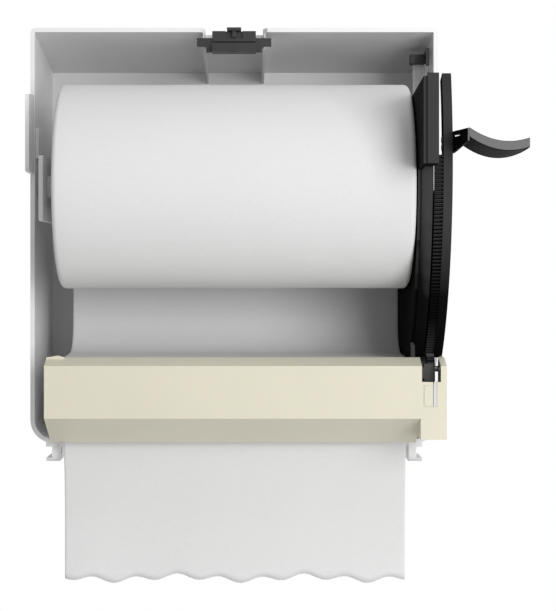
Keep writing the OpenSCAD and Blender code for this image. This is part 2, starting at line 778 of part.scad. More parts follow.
// Level slot in which the pinch shaft can give way to the paper
module pinch_slot(x0, x1) {
    for (dy = [0, 1.5]) rod_x(x0 - cut, x1 + cut, pinch_y + dy, feed_z, pinch_shaft_r + run);
    half = pinch_shaft_r + run;
    box([x0 - cut, pinch_y, feed_z - half], [x1 + cut, pinch_y + 1.5, feed_z + half]);
}

module plate_screws() {
    color([0.65, 0.65, 0.67]) for (z = plate_screw_z) pan_screw(plate_screw_x, z, tab_y - tab_t);
}

// White bracket that holds the plate's top to the housing, with its black cap and hook

bracket_y = -58;
bracket_x0 = plate_x1 + 5;
bracket_x1 = inner_x - 1.6;
bracket_t = 1.8;
bracket_step_z = plate_back_z - 4;
bracket_low_z = bracket_step_z - 8;
bracket_side_z = plate_back_z + 10;
bracket_side_w = 8;
cap_top_z = top_inner_z(bracket_y - 7) - 5;
cap_low_z = cap_top_z - 6;

module top_bracket() {
    front = bracket_y - bracket_t;
    side = bracket_y - bracket_side_w;
    color([0.86, 0.86, 0.87]) {
        box([bracket_x0, front, bracket_step_z], [bracket_x1, bracket_y, cap_low_z]);
        box([plate_x1, front, bracket_low_z], [bracket_x1, bracket_y, bracket_step_z + seat]);
        box([bracket_x1 - seat, side, bracket_side_z], [inner_x, bracket_y, cap_low_z]);
        box([bracket_x1, side, cap_low_z - seat], [inner_x, bracket_y, cap_top_z]);
    }
}

module bracket_cap() {
    hook_x = bracket_x1 - 2;
    hook_y = bracket_y - 27;
    color([0.14, 0.14, 0.15]) {
        box([bracket_x0 - 1.8, bracket_y - 7, cap_low_z], [bracket_x1, bracket_y + 2, cap_top_z]);
        box([hook_x, hook_y, cap_top_z - 2], [bracket_x1, bracket_y - 6, cap_top_z]);
        box([hook_x, hook_y, cap_low_z - 3.5], [bracket_x1, hook_y + 2, cap_top_z + 1.4]);
    }
}

// Sector gear and what turns with it

fan_x1 = strip_x0 + fan_t;
boss_x0 = plate_x1 + 0.4;
boss_x1 = axle_boss_x - side_gap;
tooth_step = 360 / sector_teeth;

function sector_tooth(a) = [for (p = [[-1, -root_h], [-1, tip_h], [1, tip_h], [1, -root_h]])
    let (r = sector_r + p[1]) polar(r, a + p[0] * tooth_half(p[1]) * 180 / PI / r)];
function pinion_tooth(a) = [for (p = [[-1, -root_h], [-1, tip_h], [1, tip_h], [1, -root_h]])
    let (r = pinion_r + p[1], b = a + p[0] * tooth_half(p[1]) * 180 / PI / r)
    [feed_y + r * cos(b), feed_z + r * sin(b)]];

module toothed_strip() {
    first = ceil((teeth_from - mesh_angle) / tooth_step);
    last = floor((teeth_to - mesh_angle) / tooth_step);
    a0 = mesh_angle + first * tooth_step;
    a1 = mesh_angle + last * tooth_step;
    r0 = band_r - strip_d;
    yz(strip_x0, strip_x1) polygon(concat(
        [for (k = [first:last - 1]) each sector_tooth(mesh_angle + (k + 0.5) * tooth_step)],
        [for (i = [24:-1:0]) polar(r0, a0 + (a1 - a0) * i / 24)]));
}

module fan_window(a0, a1) {
    pivot_ring(strip_x0 - cut, fan_x1 + cut, 46, band_r - 24, a0, a1);
}

module sector_gear() {
    color([0.13, 0.13, 0.14]) difference() {
        union() {
            toothed_strip();
            pivot_ring(strip_x1, moving_x1, band_r - moving_band_d, band_r, moving_from, moving_to);
            pivot_ring(strip_x0, fan_x1, pivot_boss_r - 1, band_r - strip_d + seat, fan_from, moving_to);
            pivot_ring(fan_x1 - seat, strip_x1 + seat, band_r - moving_band_d + 0.6, band_r - strip_d + 1.2,
                fan_from + 0.4, moving_to - 0.3);
            rod_x(boss_x0, boss_x1, pivot_y, pivot_z, pivot_boss_r);
        }
        fan_window(fan_from + 4, 18);
        fan_window(22, 34);
        fan_window(38, moving_to - 4);
        rod_x(boss_x0 - cut, boss_x1 + cut, pivot_y, pivot_z, axle_r + bush_wall + 2 * run);
        for (p = rivet_places) rod_x(strip_x1 - cut, moving_x1 + cut, p[0], p[1], rivet_r + run);
    }
}

module sector_bush() {
    color([0.75, 0.6, 0.3]) difference() {
        rod_x(boss_x0, boss_x1, pivot_y, pivot_z, axle_r + bush_wall + run);
        rod_x(boss_x0 - cut, boss_x1 + cut, pivot_y, pivot_z, axle_r + run);
    }
}

clip_x0 = plate_x0 - 1.2;

module pivot_axle() {
    color([0.7, 0.7, 0.72]) difference() {
        rod_x(plate_x0 - 2.6, axle_x1, pivot_y, pivot_z, axle_r);
        difference() {
            rod_x(clip_x0, clip_x0 + 1, pivot_y, pivot_z, axle_r + cut);
            rod_x(clip_x0 - cut, clip_x0 + 1 + cut, pivot_y, pivot_z, axle_r - 0.8);
        }
    }
}

module axle_clip() {
    color([0.5, 0.5, 0.52]) difference() {
        rod_x(clip_x0 + 0.1, clip_x0 + 0.9, pivot_y, pivot_z, axle_r + 3);
        rod_x(clip_x0 - cut, clip_x0 + cut + 1, pivot_y, pivot_z, axle_r - 0.8 + run);
        box([clip_x0 - cut, pivot_y - axle_r + 1.4, pivot_z - axle_r - 4],
            [clip_x0 + 1 + cut, pivot_y + axle_r - 1.4, pivot_z]);
    }
}

module return_spring() {
    wire_r = 0.7;
    turns = 3;
    room = strip_x0 - plate_x1 - 2 * wire_r - 0.8;
    color([0.6, 0.6, 0.62]) translate([plate_x1 + wire_r + 0.3, pivot_y, pivot_z])
        rotate([90, 0, 90]) wire(coil(coil_r(pivot_boss_r, wire_r), room / turns, turns, 16), wire_r);
}

// Lever arm and paddle, outside the housing's side

rivet_r = 1.2;
rivet_head_r = 1.9;
rivet_head_h = 0.9;
rivet_x1 = half_w + 2.4;
rivet_places = [polar(band_r - 3.5, -4.7), polar(band_r - 3.5, -3)];
arm_root_t = 1.6;
lever_x1 = half_w + 6;
paddle_front_y = pivot_y - band_r - 25;
paddle_low_z = pivot_z + 9.1;
paddle_low_x = half_w + 27.5;
paddle_x1 = half_w + paddle_reach;
paddle_rise = 0.016;

function paddle_top(x) = paddle_low_z + paddle_rise * pow(x - paddle_low_x, 2);
function paddle_share(x) = sqrt(max(1 - pow((x - lever_x1) / (paddle_x1 - lever_x1), 3), 0.004));

module lever_arm() {
    front = paddle_front_y;
    root_y = pivot_y - band_r + 1;
    slot_z = pivot_z + 13;
    color([0.11, 0.11, 0.12]) difference() {
        hull() {
            box([half_w, root_y, pivot_z + 4.4], [half_w + arm_root_t, root_y + 8, pivot_z + 16.2]);
            box([lever_x1 - 1, front, paddle_top(lever_x1) - paddle_h - 2],
                [lever_x1, front + paddle_depth - 1, paddle_top(lever_x1) - 0.4]);
        }
        box([half_w + 0.8, front - cut, slot_z], [lever_x1 - 1.6, root_y + 8 + cut, slot_z + 1.4]);
        for (p = rivet_places) rod_x(half_w - cut, rivet_x1 + run, p[0], p[1], rivet_r + run);
    }
}

// Blind rivets, set from inside the moving band, whose heads can't be seen from outside
module lever_rivets() {
    color([0.25, 0.25, 0.26]) for (p = rivet_places) {
        rod_x(strip_x1 - seat, rivet_x1, p[0], p[1], rivet_r);
        rod_x(strip_x1 - rivet_head_h, strip_x1, p[0], p[1], rivet_head_r);
    }
}

// One slice of the paddle: its front face is upright and its underside falls towards the back
function paddle_slice(x) = let (d = paddle_depth * paddle_share(x), top = paddle_top(x),
    low = top - paddle_h, f = paddle_front_y, drop = 3 * d / paddle_depth, e = 0.9)
    [[x, f, top - e], [x, f, low + e], [x, f + e, low], [x, f + d * 0.55, low - drop * 0.8],
    [x, f + d, low - drop], [x, f + d + 0.5, low - drop + 1.2], [x, f + d * 0.5, top - drop - 0.6],
    [x, f + e, top]];

module lever_paddle() {
    n = 16;
    m = 8;
    slices = [for (i = [0:n]) let (t = i / n) lever_x1 + (paddle_x1 - lever_x1) * (1 - (1 - t) * (1 - t))];
    points = [for (x = slices) each paddle_slice(x)];
    skin = [for (i = [0:n - 1], k = [0:m - 1]) let (a = i * m, b = a + m, j = (k + 1) % m)
        each [[a + k, b + j, b + k], [a + k, a + j, b + j]]];
    last = n * m;
    caps = [for (k = [1:m - 2]) each [[0, k + 1, k], [last, last + k, last + k + 1]]];
    color([0.12, 0.12, 0.13]) polyhedron(points, concat(skin, caps));
}

// Feed train

module pinion() {
    color([0.2, 0.2, 0.21]) difference() {
        yz(pinion_x0, pinion_x1)
            polygon([for (j = [0:pinion_teeth - 1]) each pinion_tooth(mesh_angle + j * 360 / pinion_teeth)]);
        rod_x(pinion_x0 - cut, pinion_x1 + cut, feed_y, feed_z, feed_shaft_r + run);
    }
}

module clutch_drum() {
    color([0.3, 0.3, 0.31]) difference() {
        rod_x(drum_x0, drum_x1, feed_y, feed_z, drum_r);
        rod_x(drum_x0 - cut, drum_x1 + cut, feed_y, feed_z, feed_shaft_r + run);
        for (a = [0:60:300]) translate([drum_x1, feed_y, feed_z]) rotate([a, 0, 0])
            translate([0, drum_r - 1.6, 0]) rotate([0, 90, 0]) cylinder(r = 0.9, h = 3, center = true);
    }
}

feed_shoulder_x = pinion_x1 + 0.4;

module feed_shaft() {
    color([0.68, 0.68, 0.7]) {
        rod_x(frame_x0, feed_shoulder_x, feed_y, feed_z, feed_shaft_r);
        rod_x(feed_shoulder_x - seat, cover_x1 - 0.4, feed_y, feed_z, feed_end_r);
    }
}

// Three sleeves on a shaft
module sleeves(y, r, bore) {
    for (k = [-1:1]) difference() {
        x = roll_mid_x + k * sleeve_pitch - sleeve_len / 2;
        rod_x(x, x + sleeve_len, y, feed_z, r);
        rod_x(x - cut, x + sleeve_len + cut, y, feed_z, bore);
    }
}

module feed_rollers() {
    color([0.22, 0.22, 0.22]) sleeves(feed_y, feed_roller_r, feed_shaft_r + run);
}

// Flanged bush; its flange is on the side of x1 that s points to
module bush(x0, x1, s) {
    f = s > 0 ? x1 : x0;
    difference() {
        union() {
            rod_x(x0, x1, feed_y, feed_z, bush_r);
            rod_x(min(f, f + s * bush_flange_t), max(f, f + s * bush_flange_t),
                feed_y, feed_z, bush_flange_r);
        }
        rod_x(x0 - 2, x1 + 2, feed_y, feed_z, feed_shaft_r + run);
    }
}

module left_feed_bush() {
    color([0.9, 0.9, 0.85]) bush(frame_x0, frame_x1, 1);
}

module right_feed_bush() {
    color([0.9, 0.9, 0.85]) bush(plate_x0, plate_x1, -1);
}

module pinch_shaft() {
    color([0.68, 0.68, 0.7]) rod_x(frame_x0 + 0.2, plate_x1 - 0.2, pinch_y, feed_z, pinch_shaft_r);
}

module pinch_rollers() {
    color([0.85, 0.85, 0.82]) sleeves(pinch_y, pinch_roller_r, pinch_shaft_r + run);
}

guide_front_y = pinch_y + pinch_roller_r + 2.4;
guide_t = 1.8;

leaf_t = 0.5;
leaf_w = 2.4;
leaf_len = 22;
leaf_foot = 8;

module pinch_springs() {
    tip_y = pinch_y + pinch_shaft_r + side_gap + leaf_t / 2;
    foot_y = guide_front_y - leaf_t / 2;
    low_z = feed_z - leaf_len;
    leaf = [[foot_y, low_z], [foot_y, low_z + leaf_foot], [tip_y, feed_z - 3], [tip_y, feed_z + 1.5]];
    color([0.7, 0.7, 0.72]) for (x0 = [frame_x1 + seat, plate_x0 - seat - leaf_w])
        yz(x0, x0 + leaf_w) polygon(ribbon(leaf, leaf_t));
}

// Chute

frame_low_z = cover_end[1] + 5;

module frame_outline() {
    polygon(concat([[back_y, feed_z + 2], [guide_front_y + 12, feed_z + 3]],
        arc([feed_y, feed_z], bearing_r, 90, 215, 10),
        [[cover_end[0] - 7, cover_end[1] + 8], [cover_end[0], frame_low_z], [back_y, frame_low_z]]));
}

module left_side_frame() {
    color([0.84, 0.84, 0.85]) difference() {
        union() {
            yz(frame_x0, frame_x1) frame_outline();
            for (z = frame_screw_z)
                box([frame_screw_x - 5, tab_y - tab_t, z - 6], [frame_x0 + seat, tab_y, z + 6]);
        }
        rod_x(frame_x0 - cut, frame_x1 + cut, feed_y, feed_z, bush_r + run);
        pinch_slot(frame_x0, frame_x1);
        for (z = frame_screw_z) rod_y(tab_y + cut, tab_y - tab_t - cut, frame_screw_x, z, screw_r + 0.4);
    }
}

module frame_screws() {
    color([0.65, 0.65, 0.67]) for (z = frame_screw_z) pan_screw(frame_screw_x, z, tab_y - tab_t);
}

guide_gap = 0.2;
guide_mid_y = guide_front_y + 37;
guide_fall = 5;
guide_low_z = feed_z - leaf_len - 2;

module paper_guide() {
    front = guide_front_y + guide_t;
    top_z = feed_z + 1;
    route = [[back_y - guide_gap, top_z], [guide_mid_y, top_z - guide_fall],
        [front, top_z - 2 * guide_fall], [front, guide_low_z]];
    color([0.8, 0.8, 0.81]) yz(frame_x1, plate_x0) polygon(strip(route, guide_t));
}

tear_y = cover_end[0] - 0.6;
tear_low_z = cover_end[1] + 3.4;
tear_h = 11;

module tear_bar() {
    w = plate_x0 - frame_x1;
    n = floor(w / tear_tooth_pitch);
    step = w / n;
    color([0.75, 0.75, 0.77]) xz(tear_y, tear_y - tear_bar_t) polygon(concat(
        [[plate_x0, tear_low_z + tear_h], [frame_x1, tear_low_z + tear_h]],
        [for (k = [0:n - 1]) each [[frame_x1 + k * step, tear_low_z + 2],
            [frame_x1 + (k + 0.5) * step, tear_low_z]]], [[plate_x0, tear_low_z + 2]]));
}

front_y = lip_front[0];
notch_low_z = lip_front[1] - notch_h;
tab_w = 5.8;
tab_h = 12.5;
tab_slit_w = 2.2;
tab_x0 = notch_x0 + 0.8;
tab_x1 = tab_x0 + tab_w;
tab_z1 = notch_low_z - 1.7;
tab_z0 = tab_z1 - tab_h;
slit_x0 = tab_x1 - 0.2;

module chute_cover() {
    outline = [lip_back, lip_front, bend, cover_end];
    box_outline = [lip_back, lip_front, [front_y, box_bottom_z], [box_back_y, box_bottom_z]];
    color([0.86, 0.84, 0.75]) difference() {
        union() {
            yz(cover_x0, box_x0 + seat) polygon(strip(outline, cover_t));
            yz(cover_x0, cover_x0 + cover_t) polygon(outline);
            yz(box_x0, cover_x1) polygon(strip(box_outline, cover_t));
            yz(box_x0, box_x0 + cover_t) polygon([bend, [front_y, box_bottom_z],
                [box_back_y - 7, box_bottom_z], [box_back_y - 7, bend[1] - 10]]);
            difference() {
                yz(cover_x1 - cover_t, cover_x1) polygon(concat(box_outline, [[box_back_y, lip_back[1]]]));
                rod_x(cover_x1 - cover_t - cut, cover_x1 + cut, pivot_y, pivot_z, band_r + 1);
            }
            lip_bump();
        }
        box([notch_x0, front_y - cut, notch_low_z], [notch_x1, lip_back[0] + cut, lip_back[1] + cut]);
        box([slit_x0, front_y - cut, tab_z0],
            [slit_x0 + tab_slit_w, front_y + cover_t + cut, notch_low_z + cut]);
        tab_outline();
        rod_x(cover_x1 - cover_t - cut, cover_x1 + cut, feed_y, feed_z, feed_end_r + run);
    }
}

// Shallow groove round the snap tab
module tab_outline() {
    deep = 0.5;
    difference() {
        box([tab_x0, front_y - cut, tab_z0], [tab_x1, front_y + deep, tab_z1]);
        box([tab_x0 + deep, front_y - 2, tab_z0 + deep], [tab_x1 - deep, front_y + 1, tab_z1 - deep]);
    }
}

// Low ramp on the lip at the cover's left end
module lip_bump() {
    y = lip_back[0];
    z = lip_back[1];
    xz(y, y - 2.5) polygon([[cover_x0, z - 1.2], [cover_x0, z], [cover_x0 + 7, z + 1.1],
        [cover_x0 + 10.5, z], [cover_x0 + 10.5, z - 1.2]]);
}

// Block in front of the pinion, on a thinner shank from the mechanism plate
pawl_t = 3.7;
pawl_above = 3.8;
pawl_below = 6.6;
shank_t = 2.5;
shank_above = 2;
shank_below = 5;

module pawl_block() {
    x0 = strip_x0 - 2.5;
    y0 = feed_y - pinion_r - 1.4;
    y1 = y0 - pawl_t;
    color([0.24, 0.24, 0.25]) {
        box([x0, y1, feed_z - pawl_below], [strip_x1 - 0.8, y0, feed_z + pawl_above]);
        box([plate_x1, y1, feed_z - shank_below], [x0 + seat, y1 + shank_t, feed_z + shank_above]);
    }
}

housing();
latch_body();
latch_pin();
latch_key_tab();
latch_spring();
left_roll_arm();
left_arm_pin();
left_hub();
right_hub();
paper_roll();
roll_core();
paper_web();
mechanism_plate();
plate_screws();
top_bracket();
bracket_cap();
sector_gear();
sector_bush();
pivot_axle();
axle_clip();
return_spring();
lever_arm();
lever_paddle();
lever_rivets();
pinion();
clutch_drum();
feed_shaft();
feed_rollers();
left_feed_bush();
right_feed_bush();
pinch_shaft();
pinch_rollers();
pinch_springs();
left_side_frame();
frame_screws();
paper_guide();
tear_bar();
chute_cover();
pawl_block();
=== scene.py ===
import math

import bmesh
import bpy
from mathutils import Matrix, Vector, noise


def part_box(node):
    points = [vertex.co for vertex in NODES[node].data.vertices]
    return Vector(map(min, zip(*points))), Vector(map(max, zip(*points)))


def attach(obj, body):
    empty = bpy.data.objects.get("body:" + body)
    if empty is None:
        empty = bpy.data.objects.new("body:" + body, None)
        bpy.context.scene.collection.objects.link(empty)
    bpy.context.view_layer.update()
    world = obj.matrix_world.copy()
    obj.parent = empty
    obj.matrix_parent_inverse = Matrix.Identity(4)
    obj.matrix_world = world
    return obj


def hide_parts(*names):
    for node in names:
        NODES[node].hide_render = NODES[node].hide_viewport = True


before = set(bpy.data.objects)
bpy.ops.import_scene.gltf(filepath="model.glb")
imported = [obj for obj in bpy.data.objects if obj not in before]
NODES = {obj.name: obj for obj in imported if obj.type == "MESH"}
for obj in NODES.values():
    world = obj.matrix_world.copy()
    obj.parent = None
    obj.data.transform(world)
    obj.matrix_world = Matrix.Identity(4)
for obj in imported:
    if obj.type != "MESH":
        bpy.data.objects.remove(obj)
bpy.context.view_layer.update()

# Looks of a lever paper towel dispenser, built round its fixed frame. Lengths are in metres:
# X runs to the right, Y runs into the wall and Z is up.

MM = 0.001


# Camera, from the perspective of the photograph

PHOTO_W, PHOTO_H = 556, 611
FOCAL_PX = 1669
AXIS_PX = (250, 265)
CAMERA_PLACE = (9.5 * MM, -1093.5 * MM, -17.7 * MM)


def make_camera():
    data = bpy.data.cameras.new("photo_camera")
    data.sensor_width = 36
    data.lens = FOCAL_PX * data.sensor_width / PHOTO_H
    data.shift_x = (PHOTO_W / 2 - AXIS_PX[0]) / PHOTO_H
    data.shift_y = (AXIS_PX[1] - PHOTO_H / 2) / PHOTO_H
    camera = bpy.data.objects.new("photo_camera", data)
    camera.location = CAMERA_PLACE
    camera.rotation_euler = (math.radians(90), 0, 0)
    bpy.context.scene.collection.objects.link(camera)
    bpy.context.scene.camera = camera


# Materials

class Finish:
    """A material in the making: its shader, and short ways to add what feeds it."""

    def __init__(self, name, roughness, **sockets):
        self.material = bpy.data.materials.new(name)
        self.material.use_nodes = True
        self.tree = self.material.node_tree
        self.shader = self.tree.nodes["Principled BSDF"]
        self.shader.inputs["Roughness"].default_value = roughness
        for socket, value in sockets.items():
            self.shader.inputs[socket.replace("_", " ")].default_value = value
        self.place = self.node("ShaderNodeTexCoord").outputs["Object"]

    def node(self, kind, inputs=None, **settings):
        made = self.tree.nodes.new(kind)
        for name, value in settings.items():
            setattr(made, name, value)
        for name, value in (inputs or {}).items():
            if isinstance(value, bpy.types.NodeSocket):
                self.tree.links.new(value, made.inputs[name])
            else:
                made.inputs[name].default_value = value
        return made

    def noise(self, size, stretch=(1, 1, 1), detail=3):
        """Noise whose lumps are about size long, drawn out along an axis by its stretch."""
        scaled = self.node("ShaderNodeMapping", {"Vector": self.place,
                           "Scale": [1 / (size * s) for s in stretch]})
        return self.node("ShaderNodeTexNoise", {"Vector": scaled.outputs[0], "Scale": 1.0,
                         "Detail": detail}).outputs["Fac"]

    def waves(self, pitch, axis, distortion=0.0):
        scaled = self.node("ShaderNodeMapping", {"Vector": self.place, "Scale": [1 / pitch] * 3})
        return self.node("ShaderNodeTexWave", {"Vector": scaled.outputs[0], "Scale": 0.314,
                         "Distortion": distortion, "Detail": 2.0},
                         bands_direction=axis).outputs["Fac"]

    def mixed(self, factor, low, high, spread=(0.35, 0.65)):
        """A colour that runs from low to high as factor crosses spread."""
        ramp = self.node("ShaderNodeValToRGB", {"Fac": factor})
        for stop, place, colour in zip(ramp.color_ramp.elements, spread, (low, high)):
            stop.position = place
            stop.color = (*colour, 1)
        return ramp.outputs["Color"]

    def colour(self, source):
        self.tree.links.new(source, self.shader.inputs["Base Color"])
        return self

    def rough(self, factor, low, high):
        span = self.node("ShaderNodeMapRange", {"Value": factor, "To Min": low, "To Max": high})
        self.tree.links.new(span.outputs["Result"], self.shader.inputs["Roughness"])
        return self

    def facing_y(self):
        """1 on faces that look along Y, either way, and 0 on those that are turned from it."""
        normal = self.node("ShaderNodeTexCoord").outputs["Normal"]
        along = self.node("ShaderNodeSeparateXYZ", {"Vector": normal}).outputs["Y"]
        size = self.node("ShaderNodeMath", {0: along}, operation="ABSOLUTE").outputs[0]
        return self.node("ShaderNodeMapRange", {"Value": size, "From Min": 0.85, "From Max": 0.98}
                         ).outputs["Result"]

    def bump(self, *layers):
        """Layers of relief, each a height and its depth in metres."""
        normal = None
        for height, depth in layers:
            inputs = {"Height": height, "Distance": depth, "Strength": 1.0}
            if normal:
                inputs["Normal"] = normal
            normal = self.node("ShaderNodeBump", inputs).outputs["Normal"]
        self.tree.links.new(normal, self.shader.inputs["Normal"])
        return self


def shade(colour, share):
    return tuple(min(1, c * share) for c in colour)


def moulded(name, colour, roughness, grain=0.02 * MM, cloud=0.05, **sockets):
    """Moulded plastic: a fine grain, faint flow clouds and uneven gloss."""
    made = Finish(name, roughness, **sockets)
    clouds = made.noise(45 * MM, detail=4)
    made.colour(made.mixed(clouds, shade(colour, 1 - cloud), shade(colour, 1 + cloud)))
    made.rough(made.noise(12 * MM), roughness - 0.06, roughness + 0.08)
    made.bump((made.noise(0.5 * MM), grain), (made.noise(18 * MM), 0.05 * MM))
    return made.material


def black_moulding(name, colour, roughness, shine=0.5, front=None):
    """Black moulding with uneven gloss. Front, if given, is a paler colour for faces that look along Y:
    it stands in for the light that a glossy face reflects in the photograph."""
    made = Finish(name, roughness, Specular_IOR_Level=shine)
    patches = made.noise(6 * MM, stretch=(1, 1, 3), detail=6)
    # Painted reflection: with a front colour, faces that look along Y are painted paler, for the light a
    # glossy face would reflect
    if front:
        made.colour(made.mixed(made.facing_y(), colour, front, spread=(0, 1)))
    else:
        made.colour(made.mixed(patches, colour, shade(colour, 2.2), spread=(0.45, 0.8)))
    made.rough(patches, roughness - 0.05, roughness + 0.1)
    made.bump((made.noise(0.45 * MM), 0.01 * MM), (made.noise(14 * MM), 0.03 * MM))
    return made.material


def towel_paper(name, colour, crepe):
    """Soft crepe paper: short cross ridges, loose fibres and slow waves. Crepe is the relief's depth."""
    made = Finish(name, 0.9, Sheen_Weight=0.1, Sheen_Roughness=0.6)
    fibres = made.noise(1.1 * MM, stretch=(2.5, 1, 1), detail=5)
    made.colour(made.mixed(fibres, shade(colour, 0.985), shade(colour, 1.01)))
    ridges = made.noise(0.9 * MM, stretch=(9, 1, 1), detail=2)
    made.bump((ridges, crepe), (fibres, 0.012 * MM), (made.noise(35 * MM, detail=1), 0.15 * MM))
    return made.material


def drawn_metal(name, colour, roughness, stretch=(1, 1, 1)):
    made = Finish(name, roughness, Metallic=1.0)
    marks = made.noise(0.4 * MM, stretch=stretch, detail=4)
    made.colour(made.mixed(marks, shade(colour, 0.86), shade(colour, 1.06)))
    made.rough(marks, roughness - 0.08, roughness + 0.12)
    made.bump((marks, 0.012 * MM))
    return made.material


def wound_board(name, colour):
    """Grey-brown core board, with the spiral seam of its winding."""
    made = Finish(name, 0.85)
    flecks = made.noise(1.5 * MM, detail=6)
    made.colour(made.mixed(flecks, shade(colour, 0.85), shade(colour, 1.12)))
    made.bump((made.waves(40 * MM, "DIAGONAL"), 0.15 * MM), (flecks, 0.04 * MM))
    return made.material


def ground_rubber(name, colour):
    made = Finish(name, 0.75)
    grit = made.noise(0.7 * MM, detail=5)
    made.colour(made.mixed(grit, shade(colour, 0.8), shade(colour, 1.3)))
    made.bump((made.noise(1.2 * MM, stretch=(6, 1, 1)), 0.05 * MM), (grit, 0.03 * MM))
    return made.material


SHELL = (0.88, 0.88, 0.885)
CREAM = (0.73, 0.70, 0.565)
BLACK = (0.0025, 0.0025, 0.0027)
PAPER = (0.78, 0.78, 0.78)


def make_materials():
    return {
        "shell": moulded("shell_plastic", SHELL, 0.38, cloud=0.012),
        "white": moulded("white_plastic", shade(SHELL, 0.97), 0.5, cloud=0.015),
        "cream": moulded("cream_plastic", CREAM, 0.36, cloud=0.015, Subsurface_Weight=0.12,
                         Subsurface_Radius=(0.004, 0.003, 0.0015)),
        "natural": moulded("natural_plastic", (0.72, 0.71, 0.64), 0.42),
        "grey": moulded("grey_plastic", (0.012, 0.012, 0.013), 0.45),
        "black": black_moulding("black_plastic", BLACK, 0.36),
        # drive_black and gloss_black carry a painted reflection: their front colour is painted on faces that
        # look along Y
        "drive_black": black_moulding("drive_black_plastic", BLACK, 0.88, shine=0.05,
                                      front=(0.05, 0.05, 0.051)),
        "gloss_black": black_moulding("gloss_black_plastic", BLACK, 0.6, shine=0.12,
                                      front=(0.17, 0.17, 0.172)),
        "paper": towel_paper("towel_paper", PAPER, 0.02 * MM),
        "board": wound_board("core_board", (0.42, 0.32, 0.22)),
        "steel": drawn_metal("drawn_steel", (0.58, 0.58, 0.6), 0.3, stretch=(12, 1, 1)),
        "bronze": drawn_metal("bush_bronze", (0.55, 0.36, 0.17), 0.4),
        "rubber": ground_rubber("roller_rubber", (0.03, 0.03, 0.03))}


# Each node's material and the width of its rounded edges
DRESS = {
    "housing": ("shell", 0.5), "latch_body": ("black", 0.4), "latch_pin": ("black", 0.2),
    "latch_key_tab": ("black", 0.3), "latch_spring": ("steel", 0),
    "left_roll_arm": ("white", 0.25), "left_arm_pin": ("white", 0.2), "left_hub": ("white", 0.3),
    "right_hub": ("drive_black", 0.3), "roll_core": ("board", 0),
    "mechanism_plate": ("drive_black", 0.35), "plate_screws": ("steel", 0.1),
    "top_bracket": ("white", 0.3), "bracket_cap": ("black", 0.3), "sector_gear": ("drive_black", 0),
    "sector_bush": ("bronze", 0), "pivot_axle": ("steel", 0.2), "axle_clip": ("steel", 0.1),
    "return_spring": ("steel", 0), "lever_arm": ("gloss_black", 0.3), "lever_rivets": ("black", 0.2),
    "pinion": ("grey", 0), "clutch_drum": ("grey", 0.2), "feed_shaft": ("steel", 0.2),
    "feed_rollers": ("rubber", 0.4), "left_feed_bush": ("natural", 0),
    "right_feed_bush": ("natural", 0), "pinch_shaft": ("steel", 0.2),
    "pinch_rollers": ("natural", 0.4), "pinch_springs": ("steel", 0),
    "left_side_frame": ("white", 0.3), "frame_screws": ("steel", 0.1),
    "paper_guide": ("white", 0), "tear_bar": ("steel", 0), "chute_cover": ("cream", 0.4),
    "pawl_block": ("grey", 0.3)}


def dress_node(name, material, edge):
    """Gives a node its material, and rounds its edges by edge millimetres."""
    piece = NODES[name]
    piece.data.materials.clear()
    piece.data.materials.append(material)
    if edge:
        weld = piece.modifiers.new("weld", "WELD")
        weld.merge_threshold = 0.002 * MM
        flat = piece.modifiers.new("flat_faces", "DECIMATE")
        flat.decimate_type = "DISSOLVE"
        flat.angle_limit = math.radians(0.5)
        bevel = piece.modifiers.new("soft_edges", "BEVEL")
        bevel.width = edge * MM
        bevel.segments = 2
        bevel.limit_method = "ANGLE"
        bevel.angle_limit = math.radians(40)
        bevel.use_clamp_overlap = True
        bevel.harden_normals = True


# Pieces made here

def add_piece(name, mesh, material, body):
    piece = bpy.data.objects.new(name, mesh)
    bpy.context.scene.collection.objects.link(piece)
    mesh.materials.append(material)
    for face in mesh.polygons:
        face.use_smooth = True
    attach(piece, body)
    return piece


def grid_mesh(name, rows, closed_across=False, closed_along=False):
    """A mesh over rows of points. A closed one joins its last column or row to its first."""
    mesh = bmesh.new()
    places = [[mesh.verts.new(p) for p in row] for row in rows]
    columns = len(rows[0])
    for i in range(len(rows) - (0 if closed_along else 1)):
        here, there = places[i], places[(i + 1) % len(rows)]
        for j in range(columns - (0 if closed_across else 1)):
            k = (j + 1) % columns
            mesh.faces.new((here[j], here[k], there[k], there[j]))
    made = bpy.data.meshes.new(name)
    bmesh.ops.recalc_face_normals(mesh, faces=mesh.faces)
    mesh.to_mesh(made)
    mesh.free()
    return made


def unevenness(x, y, z, size, seed):
    return noise.noise(Vector((x / size + seed, y / size, z / size)))


# Towel roll

ROLL_LOW, ROLL_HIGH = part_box("paper_roll")
ROLL_Y = (ROLL_LOW.y + ROLL_HIGH.y) / 2
ROLL_Z = (ROLL_LOW.z + ROLL_HIGH.z) / 2
ROLL_R = (ROLL_HIGH.z - ROLL_LOW.z) / 2
CORE_R = (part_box("roll_core")[1].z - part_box("roll_core")[0].z) / 2
CORE_GAP = 0.05 * MM
LAYER_STEP = 0.22 * MM
LAYER_DRIFT = 0.35 * MM
ROLL_SAG = 0.25 * MM


def roll_profile():
    """The roll's section from the bore, over both ends, as (x, radius).
    Wound layers step in and out at the ends."""
    edge = 3 * MM
    edge_steps = 8
    layers = 34
    half = (ROLL_HIGH.x - ROLL_LOW.x) / 2
    inner = CORE_R + CORE_GAP
    right = []
    for i in range(layers + 1):
        r = inner + (ROLL_R - edge - inner) * i / layers
        step = LAYER_STEP * (i % 2) + LAYER_DRIFT * abs(unevenness(r, 0, 0, 4 * MM, 3.1))
        right.append((half - step, r))
    for i in range(1, edge_steps + 1):
        a = math.radians(90 - 90 * i / edge_steps)
        right.append((half - edge + edge * math.sin(a), ROLL_R - edge + edge * math.cos(a)))
    flat = 24
    across = [((half - edge) * (1 - 2 * i / flat), ROLL_R) for i in range(1, flat)]
    left = [(-x, r) for x, r in reversed(right)]
    return right + across + left


